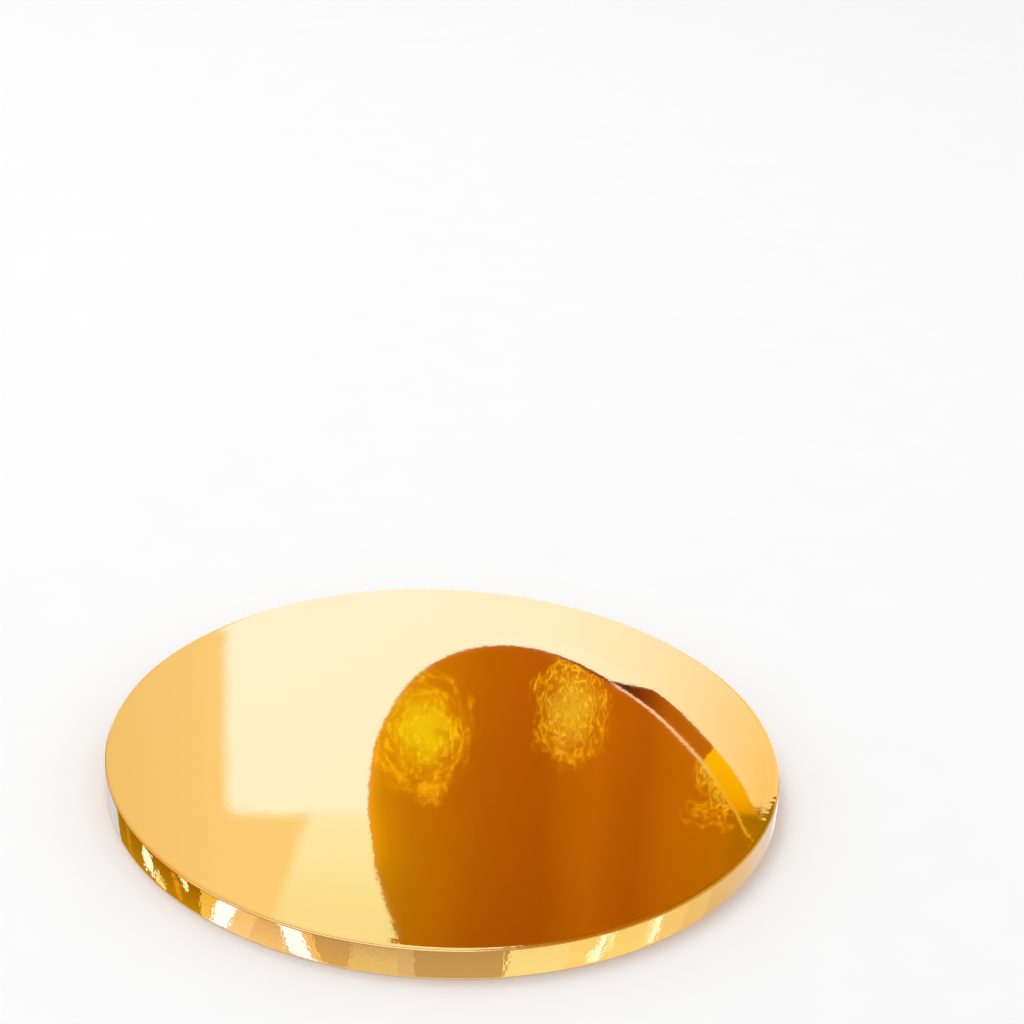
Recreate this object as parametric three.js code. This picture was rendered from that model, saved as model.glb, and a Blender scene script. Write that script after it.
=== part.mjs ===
// Round foil-covered cake board (a cake drum): a thick board core, a foil strip wrapped
// round its edge, a foil disc glued on its face and a paper disc glued underneath.
// Millimetres, +Z up. The origin is the middle of the underside.

import * as THREE from 'three';

// Overall size
const BOARD_DIAMETER = 254;
const BOARD_THICKNESS = 12;

// Papers and the glue between them
const STRIP_PAPER = 0.15;
const FACE_PAPER = 0.15;
const BASE_PAPER = 0.15;
const GLUE_LINE = 0.05;

// The rounded corners of the covered edge
const UPPER_CORNER_RADIUS = 0.5;
const LOWER_CORNER_RADIUS = 0.6;

// How far the face foil stops short of the rounded corner, and the base paper of the edge
const FACE_MARGIN = 0.1;
const BASE_INSET = 8;

// The strip's turned-in widths, over the face and under the base
const TURN_OVER_WIDTH = 9;
const TURN_UNDER_WIDTH = 14;

// The pleats that take up the turned-under strip
const PLEAT_COUNT = 48;
const PLEAT_CLEARANCE = 0.05;
const PLEAT_FOLD_SHARE = 0.07;
const PLEAT_SLOPE_SHARE = 0.36;
const PLEAT_REST_SHARE = 0.68;
const PLEAT_END_GAP = 0.4;
const PLEAT_END_SLOPE = 0.3;

// The overlap where the strip's two ends meet
const SEAM_AZIMUTH = -78;
const SEAM_LAP = 10;
const SEAM_RISE = 0.12;
const SEAM_EDGE = 0.25;
const SEAM_RAMP = 4;

// Facets
const UPPER_CORNER_STEPS = 4;
const LOWER_CORNER_STEPS = 3;
const INNER_CORNER_STEPS = 2;
const DISC_STEPS = 144;

const GOLD_FOIL = { color: 0xf4c35c, roughness: 0.07, metalness: 1.0 };
const GREY_BOARD = { color: 0xa88a62, roughness: 0.9, metalness: 0.0 };
const WHITE_PAPER = { color: 0xf1efe9, roughness: 0.8, metalness: 0.0 };

const FULL_TURN = 360;
const RIGHT_ANGLE = 90;

const edgeRadius = BOARD_DIAMETER / 2;

// Levels, from the underside up: the strip lies in rebates pressed into the core.
const stripLow = BASE_PAPER + GLUE_LINE;
const stripHigh = BOARD_THICKNESS - FACE_PAPER - GLUE_LINE;
const rebateLow = stripLow + STRIP_PAPER + GLUE_LINE;
const rebateHigh = stripHigh - STRIP_PAPER - GLUE_LINE;

// The pleats stand out almost to the level that the board stands on.
const pleatHeight = stripLow - PLEAT_CLEARANCE;

function toRadians(degrees) {
  return THREE.MathUtils.degToRad(degrees);
}

// The angle, in degrees, that a length takes up along the edge.
function arcDegrees(length) {
  return THREE.MathUtils.radToDeg(length / edgeRadius);
}

// A quarter round from one angle to another about a centre, as [radius, height] points.
function cornerArc(centreR, centreZ, radius, fromDegrees, toDegrees, steps) {
  const points = [];
  for (let i = 0; i <= steps; i += 1) {
    const angle = toRadians(fromDegrees + (toDegrees - fromDegrees) * i / steps);
    points.push([centreR + radius * Math.cos(angle), centreZ + radius * Math.sin(angle)]);
  }
  return points;
}

// The angle from one azimuth round to another, from 0 up to a full turn.
function turnFrom(start, azimuth) {
  return THREE.MathUtils.euclideanModulo(azimuth - start, FULL_TURN);
}

// A straight ramp through [position, value] pairs, held at its ends.
function rampThrough(pairs, position) {
  for (let i = 1; i < pairs.length; i += 1) {
    const [fromPosition, fromValue] = pairs[i - 1];
    const [toPosition, toValue] = pairs[i];
    if (position <= toPosition) {
      const share = Math.max(0, (position - fromPosition) / (toPosition - fromPosition));
      return fromValue + (toValue - fromValue) * share;
    }
  }
  return pairs[pairs.length - 1][1];
}

// How far a pleat stands out at an azimuth: up at its fold, down along its slope.
function pleatRise(azimuth) {
  const pitch = FULL_TURN / PLEAT_COUNT;
  const share = THREE.MathUtils.euclideanModulo(azimuth - SEAM_AZIMUTH, pitch) / pitch;
  return pleatHeight * rampThrough([[0, 0], [PLEAT_FOLD_SHARE, 1], [PLEAT_SLOPE_SHARE, 0]], share);
}

// How far the strip stands out where its end laps over its start.
function seamRise(azimuth) {
  const start = SEAM_AZIMUTH - arcDegrees(SEAM_LAP + SEAM_RAMP);
  const rampEnd = arcDegrees(SEAM_RAMP);
  const lapEnd = arcDegrees(SEAM_RAMP + SEAM_LAP);
  const edgeEnd = arcDegrees(SEAM_RAMP + SEAM_LAP + SEAM_EDGE);
  const along = turnFrom(start, azimuth);
  return SEAM_RISE * rampThrough([[0, 0], [rampEnd, 1], [lapEnd, 1], [edgeEnd, 0]], along);
}

// The azimuths at which a section is taken: at each pleat, at the seam and on the two axes.
function ringAzimuths() {
  const azimuths = [];
  const pitch = FULL_TURN / PLEAT_COUNT;
  for (let i = 0; i < PLEAT_COUNT; i += 1) {
    for (const share of [0, PLEAT_FOLD_SHARE, PLEAT_SLOPE_SHARE, PLEAT_REST_SHARE]) {
      azimuths.push(SEAM_AZIMUTH + pitch * (i + share));
    }
  }
  azimuths.push(SEAM_AZIMUTH + arcDegrees(SEAM_EDGE));
  azimuths.push(SEAM_AZIMUTH - arcDegrees(SEAM_LAP));
  azimuths.push(SEAM_AZIMUTH - arcDegrees(SEAM_LAP + SEAM_RAMP));
  for (let azimuth = 0; azimuth < FULL_TURN; azimuth += RIGHT_ANGLE) {
    azimuths.push(azimuth);
  }
  return distinctTurns(azimuths);
}

// Azimuths from 0 up to a full turn, in order, without near repeats.
function distinctTurns(azimuths) {
  const turns = azimuths.map((azimuth) => turnFrom(0, azimuth)).sort((a, b) => a - b);
  const leastTurn = arcDegrees(SEAM_EDGE) / 2;
  const kept = [];
  for (const turn of turns) {
    if (kept.length === 0 || turn - kept[kept.length - 1] > leastTurn) {
      kept.push(turn);
    }
  }
  return kept;
}

// The strip's section at an azimuth: a C round the core's edge, as a closed loop.
function stripSection(azimuth) {
  const lap = seamRise(azimuth);
  const pleat = pleatRise(azimuth);
  const upperCentreR = edgeRadius - UPPER_CORNER_RADIUS;
  const lowerCentreR = edgeRadius - LOWER_CORNER_RADIUS;
  const upperCentreZ = stripHigh - UPPER_CORNER_RADIUS;
  const lowerCentreZ = stripLow + LOWER_CORNER_RADIUS;
  const upperInner = UPPER_CORNER_RADIUS - STRIP_PAPER;
  const lowerInner = LOWER_CORNER_RADIUS - STRIP_PAPER;
  const overEnd = edgeRadius - TURN_OVER_WIDTH;
  const underEnd = edgeRadius - TURN_UNDER_WIDTH;
  const pleatEnd = edgeRadius - BASE_INSET + PLEAT_END_GAP;
  return [
    [overEnd, stripHigh],
    [overEnd, stripHigh - STRIP_PAPER],
    ...cornerArc(upperCentreR, upperCentreZ, upperInner, RIGHT_ANGLE, 0, INNER_CORNER_STEPS),
    ...cornerArc(lowerCentreR, lowerCentreZ, lowerInner, 0, -RIGHT_ANGLE, INNER_CORNER_STEPS),
    [underEnd, stripLow + STRIP_PAPER],
    [underEnd, stripLow],
    [pleatEnd, stripLow],
    [pleatEnd + PLEAT_END_SLOPE, stripLow - pleat],
    ...cornerArc(lowerCentreR + lap, lowerCentreZ, LOWER_CORNER_RADIUS, -RIGHT_ANGLE, 0, LOWER_CORNER_STEPS),
    ...cornerArc(upperCentreR + lap, upperCentreZ, UPPER_CORNER_RADIUS, 0, RIGHT_ANGLE, UPPER_CORNER_STEPS),
  ];
}

// The core's section from the axis out and back: a slab with a rebate round each face.
function coreSection() {
  const upperCentreR = edgeRadius - UPPER_CORNER_RADIUS;
  const lowerCentreR = edgeRadius - LOWER_CORNER_RADIUS;
  const upperCentreZ = stripHigh - UPPER_CORNER_RADIUS;
  const lowerCentreZ = stripLow + LOWER_CORNER_RADIUS;
  const upperRadius = UPPER_CORNER_RADIUS - STRIP_PAPER - GLUE_LINE;
  const lowerRadius = LOWER_CORNER_RADIUS - STRIP_PAPER - GLUE_LINE;
  const upperRebateR = edgeRadius - TURN_OVER_WIDTH - GLUE_LINE;
  const lowerRebateR = edgeRadius - TURN_UNDER_WIDTH - GLUE_LINE;
  return [
    [0, stripLow],
    [lowerRebateR, stripLow],
    [lowerRebateR, rebateLow],
    ...cornerArc(lowerCentreR, lowerCentreZ, lowerRadius, -RIGHT_ANGLE, 0, INNER_CORNER_STEPS),
    ...cornerArc(upperCentreR, upperCentreZ, upperRadius, 0, RIGHT_ANGLE, INNER_CORNER_STEPS),
    [upperRebateR, rebateHigh],
    [upperRebateR, stripHigh],
    [0, stripHigh],
  ];
}

// Carries a section round the axis, one ring of points at each azimuth. A section that
// closes on itself makes a ring, and one that starts and ends on the axis makes a solid.
function sweptGeometry(azimuths, sectionAt, closed) {
  const positions = [];
  for (const azimuth of azimuths) {
    const angle = toRadians(azimuth);
    for (const [radius, height] of sectionAt(azimuth)) {
      positions.push(radius * Math.cos(angle), radius * Math.sin(angle), height);
    }
  }
  const sectionSize = sectionAt(azimuths[0]).length;
  const spans = closed ? sectionSize : sectionSize - 1;
  const index = [];
  for (let ring = 0; ring < azimuths.length; ring += 1) {
    const here = ring * sectionSize;
    const next = ((ring + 1) % azimuths.length) * sectionSize;
    for (let i = 0; i < spans; i += 1) {
      const j = (i + 1) % sectionSize;
      const startsOnAxis = !closed && i === 0;
      const endsOnAxis = !closed && j === sectionSize - 1;
      if (!startsOnAxis) {
        index.push(here + i, next + i, next + j);
      }
      if (!endsOnAxis) {
        index.push(here + i, next + j, here + j);
      }
    }
  }
  const geometry = new THREE.BufferGeometry();
  geometry.setAttribute('position', new THREE.Float32BufferAttribute(positions, 3));
  geometry.setIndex(index);
  geometry.computeVertexNormals();
  return geometry;
}

function discGeometry(radius, paper) {
  const geometry = new THREE.CylinderGeometry(radius, radius, paper, DISC_STEPS);
  geometry.rotateX(toRadians(RIGHT_ANGLE));
  return geometry;
}

function namedMesh(name, geometry, look, height) {
  const mesh = new THREE.Mesh(geometry, new THREE.MeshStandardMaterial(look));
  mesh.name = name;
  mesh.position.z = height;
  return mesh;
}

// The stiff board that everything is glued to.
function coreBoard(azimuths) {
  return namedMesh('core_board', sweptGeometry(azimuths, coreSection, false), GREY_BOARD, 0);
}

// The foil strip: over the rim, down the edge, pleated underneath, lapped at its seam.
function edgeStrip(azimuths) {
  return namedMesh('edge_strip', sweptGeometry(azimuths, stripSection, true), GOLD_FOIL, 0);
}

// The foil disc that covers the face and the strip's turned-over width.
function faceFoil() {
  const height = BOARD_THICKNESS - FACE_PAPER / 2;
  const radius = edgeRadius - UPPER_CORNER_RADIUS - FACE_MARGIN;
  return namedMesh('face_foil', discGeometry(radius, FACE_PAPER), GOLD_FOIL, height);
}

// The paper disc underneath, on which the board stands.
function basePaper() {
  const height = BASE_PAPER / 2;
  return namedMesh('base_paper', discGeometry(edgeRadius - BASE_INSET, BASE_PAPER), WHITE_PAPER, height);
}

function cakeBoard() {
  const azimuths = ringAzimuths();
  const board = new THREE.Group();
  board.add(coreBoard(azimuths));
  board.add(edgeStrip(azimuths));
  board.add(faceFoil());
  board.add(basePaper());
  return board;
}

export default cakeBoard();
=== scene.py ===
import math

import bpy
import numpy as np
from mathutils import Euler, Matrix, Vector

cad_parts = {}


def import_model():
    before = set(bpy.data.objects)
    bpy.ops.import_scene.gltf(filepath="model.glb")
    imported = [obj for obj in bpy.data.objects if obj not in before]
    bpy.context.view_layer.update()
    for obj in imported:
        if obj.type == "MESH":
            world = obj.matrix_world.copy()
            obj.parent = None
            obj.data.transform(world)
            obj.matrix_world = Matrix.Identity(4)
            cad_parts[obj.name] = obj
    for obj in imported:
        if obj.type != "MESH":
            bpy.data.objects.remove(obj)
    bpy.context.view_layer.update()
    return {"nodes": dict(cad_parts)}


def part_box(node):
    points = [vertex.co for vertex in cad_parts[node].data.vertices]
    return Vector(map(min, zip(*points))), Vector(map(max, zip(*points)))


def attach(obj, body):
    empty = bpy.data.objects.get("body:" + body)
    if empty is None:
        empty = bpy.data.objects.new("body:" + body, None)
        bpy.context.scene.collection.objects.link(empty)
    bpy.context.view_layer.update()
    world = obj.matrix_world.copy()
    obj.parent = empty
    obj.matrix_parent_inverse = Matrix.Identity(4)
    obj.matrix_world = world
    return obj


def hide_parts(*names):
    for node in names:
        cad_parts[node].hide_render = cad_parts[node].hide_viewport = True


# A round cake board in mirror-bright gold foil, on a white floor in a plain studio

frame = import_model()

# Sizes of the board, in metres, as the frame gives them
face_low, face_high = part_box("face_foil")
strip_low, strip_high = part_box("edge_strip")
base_low, base_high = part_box("base_paper")
EDGE_RADIUS = strip_high[0]
FACE_RADIUS = face_high[0]
BASE_RADIUS = base_high[0]
FACE_TOP = face_high[2]
STRIP_TOP = strip_high[2]

# Sizes that the frame doesn't give
PAPER = 0.00015
GLUE_LINE = 0.00005
STRIP_BOTTOM = base_high[2] + GLUE_LINE
UPPER_CORNER_RADIUS = 0.0005
LOWER_CORNER_RADIUS = 0.0006
TURN_OVER_WIDTH = 0.009
TURN_UNDER_WIDTH = 0.014
PLEAT_COUNT = 48
PLEAT_RISE = STRIP_BOTTOM - strip_low[2]
SEAM_AZIMUTH = math.radians(-78)
SEAM_LAP = 0.010
SEAM_RAMP = 0.004
SEAM_EDGE = 0.00012
SEAM_RISE = 0.00012
SEAM_CREASE = 0.00006

# Camera: the photograph's angle, with the frame taken as 1024 x 1024 pixels
CAMERA_AIM = Vector((0.0203, 0.2283, 0.0))
CAMERA_DISTANCE = 1.1202
CAMERA_ELEVATION = math.radians(26.31)
CAMERA_ROLL = math.radians(3.39)
FOCAL_PIXELS = 2400
FRAME_PIXELS = 1024
SENSOR_WIDTH = 36.0
CLIP_NEAR = 0.01
CLIP_FAR = 50.0

# Colours, as they look on screen, from 0 to 255. From the camera's height the gold looks a
# little paler than its own tone.
GOLD_SEEN = (246, 197, 108)
GOLD_SEEN_LOW = (246, 199, 114)
CREAM = (255, 241, 196)


def linear(colour):
    """A screen colour from 0 to 255 as the linear colour that Blender works in."""
    values = []
    for level in colour:
        share = level / 255
        values.append(share / 12.92 if share <= 0.04045 else ((share + 0.055) / 1.055) ** 2.4)
    return tuple(values)


GOLD = linear(GOLD_SEEN)
GOLD_LOW = linear(GOLD_SEEN_LOW)


def glow_seen_as(colour):
    """The light that a card sends out for its reflection in the gold to have that screen colour."""
    return tuple(seen / tint for seen, tint in zip(linear(colour), GOLD_LOW))


def smooth(share):
    """A share from 0 to 1 that starts and ends gently."""
    return share * share * (3 - 2 * share)


# Most of a noise texture's values lie between these two
NOISE_LOW = 0.3
NOISE_HIGH = 0.7
NOISE_MIDDLE = 0.5


class Nodes:
    """Adds nodes to a node tree in few words."""

    def __init__(self, tree):
        self.tree = tree

    def add(self, kind, inputs=None, **settings):
        node = self.tree.nodes.new(kind)
        for key, value in settings.items():
            setattr(node, key, value)
        for key, value in (inputs or {}).items():
            if isinstance(value, bpy.types.NodeSocket):
                self.tree.links.new(value, node.inputs[key])
            else:
                node.inputs[key].default_value = value
        return node

    def place(self):
        return self.add("ShaderNodeTexCoord").outputs["Object"]

    def drawn_place(self):
        """The place that a leaning card was drawn at, before it was moved."""
        return self.add("ShaderNodeAttribute", attribute_name="drawn_place").outputs["Vector"]

    def axes(self, place):
        return self.add("ShaderNodeSeparateXYZ", {"Vector": place}).outputs

    def math(self, operation, first, second=0.0):
        return self.add("ShaderNodeMath", {0: first, 1: second}, operation=operation).outputs[0]

    def vector(self, operation, inputs, output="Vector"):
        return self.add("ShaderNodeVectorMath", inputs, operation=operation).outputs[output]

    def noise(self, place, scale, detail=2.0, roughness=0.5, distortion=0.0):
        values = {"Vector": place, "Scale": scale, "Detail": detail,
                  "Roughness": roughness, "Distortion": distortion}
        return self.add("ShaderNodeTexNoise", values).outputs["Fac"]

    def spread(self, value, low, high, to_low, to_high):
        values = {"Value": value, "From Min": low, "From Max": high,
                  "To Min": to_low, "To Max": to_high}
        return self.add("ShaderNodeMapRange", values).outputs["Result"]

    def spread_noise(self, noise, to_low, to_high):
        return self.spread(noise, NOISE_LOW, NOISE_HIGH, to_low, to_high)

    def soft_step(self, value, edge, width):
        """From 0 below an edge to 1 above it, over a soft width. A width below 0 turns it round."""
        values = {"Value": value, "From Min": edge - width / 2, "From Max": edge + width / 2}
        node = self.add("ShaderNodeMapRange", values, interpolation_type="SMOOTHSTEP")
        return node.outputs["Result"]

    def ramp(self, value, stops):
        node = self.add("ShaderNodeValToRGB", {"Fac": value})
        elements = node.color_ramp.elements
        while len(elements) < len(stops):
            elements.new(0.5)
        for element, (place, colour) in zip(elements, stops):
            element.position = place
            element.color = (*colour, 1.0)
        return node.outputs["Color"]

    def colours_along(self, value, stops, glow=glow_seen_as):
        """Colours that change along a value, from (value, colour) stops."""
        first, last = stops[0][0], stops[-1][0]
        share = self.spread(value, first, last, 0.0, 1.0)
        return self.ramp(share, [((spot - first) / (last - first), glow(colour)) for spot, colour in stops])

    def blend(self, share, first, second):
        """One colour turned into another by a share from 0 to 1."""
        mixed = self.add("ShaderNodeMix", data_type="RGBA")
        self.tree.links.new(share, mixed.inputs["Factor"])
        for socket, colour in ((mixed.inputs[6], first), (mixed.inputs[7], second)):
            if isinstance(colour, bpy.types.NodeSocket):
                self.tree.links.new(colour, socket)
            else:
                socket.default_value = (*colour, 1.0)
        return mixed.outputs[2]

    def bump(self, height, distance, normal=None):
        values = {"Height": height, "Distance": distance, "Strength": 1.0}
        if normal is not None:
            values["Normal"] = normal
        return self.add("ShaderNodeBump", values).outputs["Normal"]

    def surface(self, output, inputs):
        """A shader with these inputs as the material's surface."""
        shader = self.add("ShaderNodeBsdfPrincipled", inputs)
        self.tree.links.new(shader.outputs["BSDF"], output.inputs["Surface"])

    def emit(self, output, colour):
        """A plain glow of this colour as the material's surface."""
        light = self.add("ShaderNodeEmission", {"Color": colour, "Strength": 1.0})
        self.tree.links.new(light.outputs[0], output.inputs["Surface"])


def new_material(name):
    """A node material with nothing in it but its output."""
    material = bpy.data.materials.new(name)
    material.use_nodes = True
    material.node_tree.nodes.clear()
    nodes = Nodes(material.node_tree)
    output = nodes.add("ShaderNodeOutputMaterial")
    return material, nodes, output


# The foil's own relief: wavelength and height of each layer, in metres
SWELL_WAVE = 0.0050
SWELL_HEIGHT = 0.0000120
PEEL_WAVE = 0.0019
PEEL_HEIGHT = 0.0000155
PEEL_WOBBLE = 0.4
FINE_WAVE = 0.0009
FINE_HEIGHT = 0.0000020
GATHER_PITCH = 0.0040
GATHER_HEIGHT = 0.000044
GATHER_WIDTH = 0.0042
GATHER_LENGTH = 0.0126
TEETH_WAVE = 0.0011
TEETH_HEIGHT = 0.0000120
TEETH_WOBBLE = 0.3

# How much of the peel each foil has, and how rough they are
FACE_RELIEF = 0.13
STRIP_RELIEF = 1.0
FOIL_CLOUD_WAVE = 0.03
FOIL_ROUGHNESS = (0.020, 0.034)


def foil_relief(nodes, place, share):
    """The orange peel of foil on paper, in three layers, by a share of its full height."""
    swell = nodes.noise(place, 1 / SWELL_WAVE, detail=0.0)
    peel = nodes.noise(place, 1 / PEEL_WAVE, detail=0.0, distortion=PEEL_WOBBLE)
    fine = nodes.noise(place, 1 / FINE_WAVE, detail=0.0)
    normal = nodes.bump(swell, SWELL_HEIGHT * share)
    normal = nodes.bump(peel, PEEL_HEIGHT * share, normal)
    return nodes.bump(fine, FINE_HEIGHT * share, normal)


def foil_shader(nodes, output, place, normal):
    """Polished gold, a little rougher in soft clouds."""
    cloud = nodes.noise(place, 1 / FOIL_CLOUD_WAVE, detail=3.0)
    nodes.surface(output, {
        "Base Color": (*GOLD, 1.0), "Metallic": 1.0,
        "Roughness": nodes.spread_noise(cloud, *FOIL_ROUGHNESS), "Normal": normal})


def face_foil_material():
    """Mirror-bright gold foil laid flat: a faint orange peel, and gathers near the rim."""
    material, nodes, output = new_material("gold_foil_face")
    place = nodes.place()
    normal = rim_gathers(nodes, place, foil_relief(nodes, place, FACE_RELIEF))
    foil_shader(nodes, output, place, normal)
    return material


def strip_foil_material():
    """The same foil wrapped round the edge, with more relief from the wrapping."""
    material, nodes, output = new_material("gold_foil_strip")
    place = nodes.place()
    teeth = nodes.noise(place, 1 / TEETH_WAVE, detail=0.0, distortion=TEETH_WOBBLE)
    normal = nodes.bump(teeth, TEETH_HEIGHT, foil_relief(nodes, place, STRIP_RELIEF))
    foil_shader(nodes, output, place, normal)
    return material


def azimuth_and_radius(nodes, place):
    axes = nodes.axes(place)
    x, y = axes["X"], axes["Y"]
    azimuth = nodes.math("ARCTAN2", y, x)
    squares = nodes.math("ADD", nodes.math("MULTIPLY", x, x), nodes.math("MULTIPLY", y, y))
    return azimuth, nodes.math("SQRT", squares)


def rim_gathers(nodes, place, normal):
    """Short radial gathers where the foil is drawn over the rim."""
    azimuth, radius = azimuth_and_radius(nodes, place)
    along = nodes.math("MULTIPLY", azimuth, EDGE_RADIUS / GATHER_PITCH)
    across = nodes.math("MULTIPLY", radius, 1 / GATHER_LENGTH)
    track = nodes.add("ShaderNodeCombineXYZ", {"X": along, "Y": across}).outputs["Vector"]
    folds = nodes.noise(track, 1.0, detail=1.0)
    near = nodes.spread(radius, EDGE_RADIUS - UPPER_CORNER_RADIUS - GATHER_WIDTH,
                        EDGE_RADIUS - UPPER_CORNER_RADIUS, 0.0, 1.0)
    height = nodes.math("MULTIPLY", folds, near)
    return nodes.bump(height, GATHER_HEIGHT, normal)


# The white paper and the core's board: grains in a metre, heights in metres, tones and roughness
PAPER_FIBRES = 900.0
PAPER_FIBRE_HEIGHT = 0.00006
PAPER_CLOUDS = 45.0
PAPER_CLOUD_HEIGHT = 0.0003
PAPER_TONES = ((234, 231, 223), (244, 242, 236))
PAPER_ROUGHNESS = (0.72, 0.9)
BOARD_FLECKS = 700.0
BOARD_FLECK_HEIGHT = 0.00008
BOARD_TONES = ((150, 118, 80), (176, 140, 98))
BOARD_ROUGHNESS = 0.9


def two_tones(nodes, noise, tones):
    """A noise's values as colours between a darker and a lighter tone."""
    darker, lighter = tones
    return nodes.ramp(noise, [(NOISE_LOW, linear(darker)), (NOISE_HIGH, linear(lighter))])


def white_paper_material():
    """Plain white lining paper with a soft fibre grain."""
    material, nodes, output = new_material("white_paper")
    place = nodes.place()
    fibres = nodes.noise(place, PAPER_FIBRES, detail=6.0, roughness=0.65)
    cloud = nodes.noise(place, PAPER_CLOUDS, detail=4.0, roughness=0.6)
    normal = nodes.bump(fibres, PAPER_FIBRE_HEIGHT)
    normal = nodes.bump(cloud, PAPER_CLOUD_HEIGHT, normal)
    nodes.surface(output, {
        "Base Color": two_tones(nodes, cloud, PAPER_TONES),
        "Roughness": nodes.spread_noise(fibres, *PAPER_ROUGHNESS), "Normal": normal})
    return material


def core_board_material():
    """Grey-brown board with flecks of fibre, for the core inside the foil."""
    material, nodes, output = new_material("core_card")
    flecks = nodes.noise(nodes.place(), BOARD_FLECKS, detail=5.0, roughness=0.7)
    nodes.surface(output, {
        "Base Color": two_tones(nodes, flecks, BOARD_TONES), "Roughness": BOARD_ROUGHNESS,
        "Normal": nodes.bump(flecks, BOARD_FLECK_HEIGHT)})
    return material


def new_object(name, vertices, faces, material):
    """A smooth-shaded mesh object with one material."""
    mesh = bpy.data.meshes.new(name)
    mesh.from_pydata(vertices, [], faces)
    mesh.validate()
    mesh.materials.append(material)
    mesh.shade_smooth()
    piece = bpy.data.objects.new(name, mesh)
    bpy.context.scene.collection.objects.link(piece)
    return piece


# The foil face is flat to a few hundredths of a millimetre, in long slow waves that stop at the rim
WAVE_LENGTHS = (0.115, 0.083, 0.061, 0.047, 0.036)
WAVE_HEIGHTS = (0.000030, 0.000022, 0.000012, 0.000007, 0.000004)
WAVES_OF_A_LENGTH = 3
WAVE_SEED = 11
WAVES_STOP = 0.001
WAVES_FADE = 0.012

# The paper discs' rings and roundings. A ring behind has a share of the radius, and this many
# times fewer sides than the rim.
RING_PITCH = 0.00127
RING_SIDES = 6
RIM_STEPS = 3
BACK_RINGS = ((0.9, 2), (0.45, 12))
FACE_ROUNDING = 0.00008
BASE_ROUNDING = 0.00005


def slow_waves(x, y):
    """Height of the long waves at a place, from a few plane waves in fixed random directions."""
    draw = np.random.default_rng(WAVE_SEED)
    height = np.zeros_like(x)
    for length, size in zip(WAVE_LENGTHS, WAVE_HEIGHTS):
        for _ in range(WAVES_OF_A_LENGTH):
            turn = draw.uniform(0, 2 * math.pi)
            phase = draw.uniform(0, 2 * math.pi)
            along = x * math.cos(turn) + y * math.sin(turn)
            height += size / WAVES_OF_A_LENGTH * np.sin(2 * math.pi * along / length + phase)
    return height


def waved(points, radius, middle):
    """A disc's points with those above the middle of the paper lifted into the slow waves."""
    x, y, z = points.T
    fade = smooth(np.clip((radius - WAVES_STOP - np.hypot(x, y)) / WAVES_FADE, 0, 1))
    return np.column_stack([x, y, z + np.where(z > middle, slow_waves(x, y) * fade, 0)])


def ring_points(radius, count, height):
    angles = np.arange(count) * 2 * math.pi / count
    return np.column_stack([radius * np.cos(angles), radius * np.sin(angles), np.full(count, height)])


def bridge(inner, inner_count, outer, outer_count, upward):
    """Triangles between two rings of points that may differ in number."""
    faces = []
    i = 0
    j = 0
    while i < inner_count or j < outer_count:
        outer_is_next = (j + 1) * inner_count <= (i + 1) * outer_count
        step_outer = j < outer_count and (i >= inner_count or outer_is_next)
        here_in = inner + i % inner_count
        here_out = outer + j % outer_count
        if step_outer:
            corner = outer + (j + 1) % outer_count
            j += 1
        else:
            corner = inner + (i + 1) % inner_count
            i += 1
        faces.append((here_in, here_out, corner) if upward else (here_in, corner, here_out))
    return faces


class DiscMesh:
    """A closed disc's points and faces, made ring by ring from the middle of its fine side."""

    def __init__(self, height):
        self.points = [np.array([[0.0, 0.0, height]])]
        self.faces = []
        self.size = 1
        self.start = 0
        self.sides = 0

    def add_ring(self, radius, sides, height, behind=False):
        """The next ring, joined to the one before it. The rings behind run inward."""
        start = self.size
        if self.sides == 0:
            self.faces += [(0, start + i, start + (i + 1) % sides) for i in range(sides)]
        elif behind:
            self.faces += bridge(start, sides, self.start, self.sides, False)
        else:
            self.faces += bridge(self.start, self.sides, start, sides, True)
        self.points.append(ring_points(radius, sides, height))
        self.size += sides
        self.start = start
        self.sides = sides

    def close(self, height):
        """The last point, in the middle of the side behind."""
        self.points.append(np.array([[0.0, 0.0, height]]))
        for i in range(self.sides):
            self.faces.append((self.size, self.start + (i + 1) % self.sides, self.start + i))


def paper_disc(radius, low, high, rounding):
    """A thin disc of paper: fine rings on the side that shows, a rounded rim, few rings behind."""
    disc = DiscMesh(high)
    flat_end = radius - rounding
    count = round(radius / RING_PITCH)
    for k in range(1, count + 1):
        disc.add_ring(flat_end * k / count, RING_SIDES * k, high)
    sides = RING_SIDES * count
    for step in range(1, RIM_STEPS + 1):
        angle = math.pi / 2 * (1 - step / RIM_STEPS)
        disc.add_ring(flat_end + rounding * math.cos(angle), sides,
                      high - rounding + rounding * math.sin(angle))
    disc.add_ring(radius, sides, low)
    for share, fewer in BACK_RINGS:
        disc.add_ring(radius * share, sides // fewer, low, behind=True)
    disc.close(low)
    return np.vstack(disc.points), disc.faces


def face_foil(material):
    """The foil disc on the face."""
    points, faces = paper_disc(FACE_RADIUS, face_low[2], FACE_TOP, FACE_ROUNDING)
    points = waved(points, FACE_RADIUS, (face_low[2] + FACE_TOP) / 2)
    piece = new_object("face_foil_disc", points.tolist(), faces, material)
    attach(piece, "root")
    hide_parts("face_foil")


def base_paper(material):
    """The white paper disc underneath, turned over so that its fine side faces down."""
    points, faces = paper_disc(BASE_RADIUS, base_low[2], base_high[2], BASE_ROUNDING)
    points[:, 1] = -points[:, 1]
    points[:, 2] = base_low[2] + base_high[2] - points[:, 2]
    piece = new_object("base_paper_disc", points.tolist(), faces, material)
    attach(piece, "root")
    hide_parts("base_paper")


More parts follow.
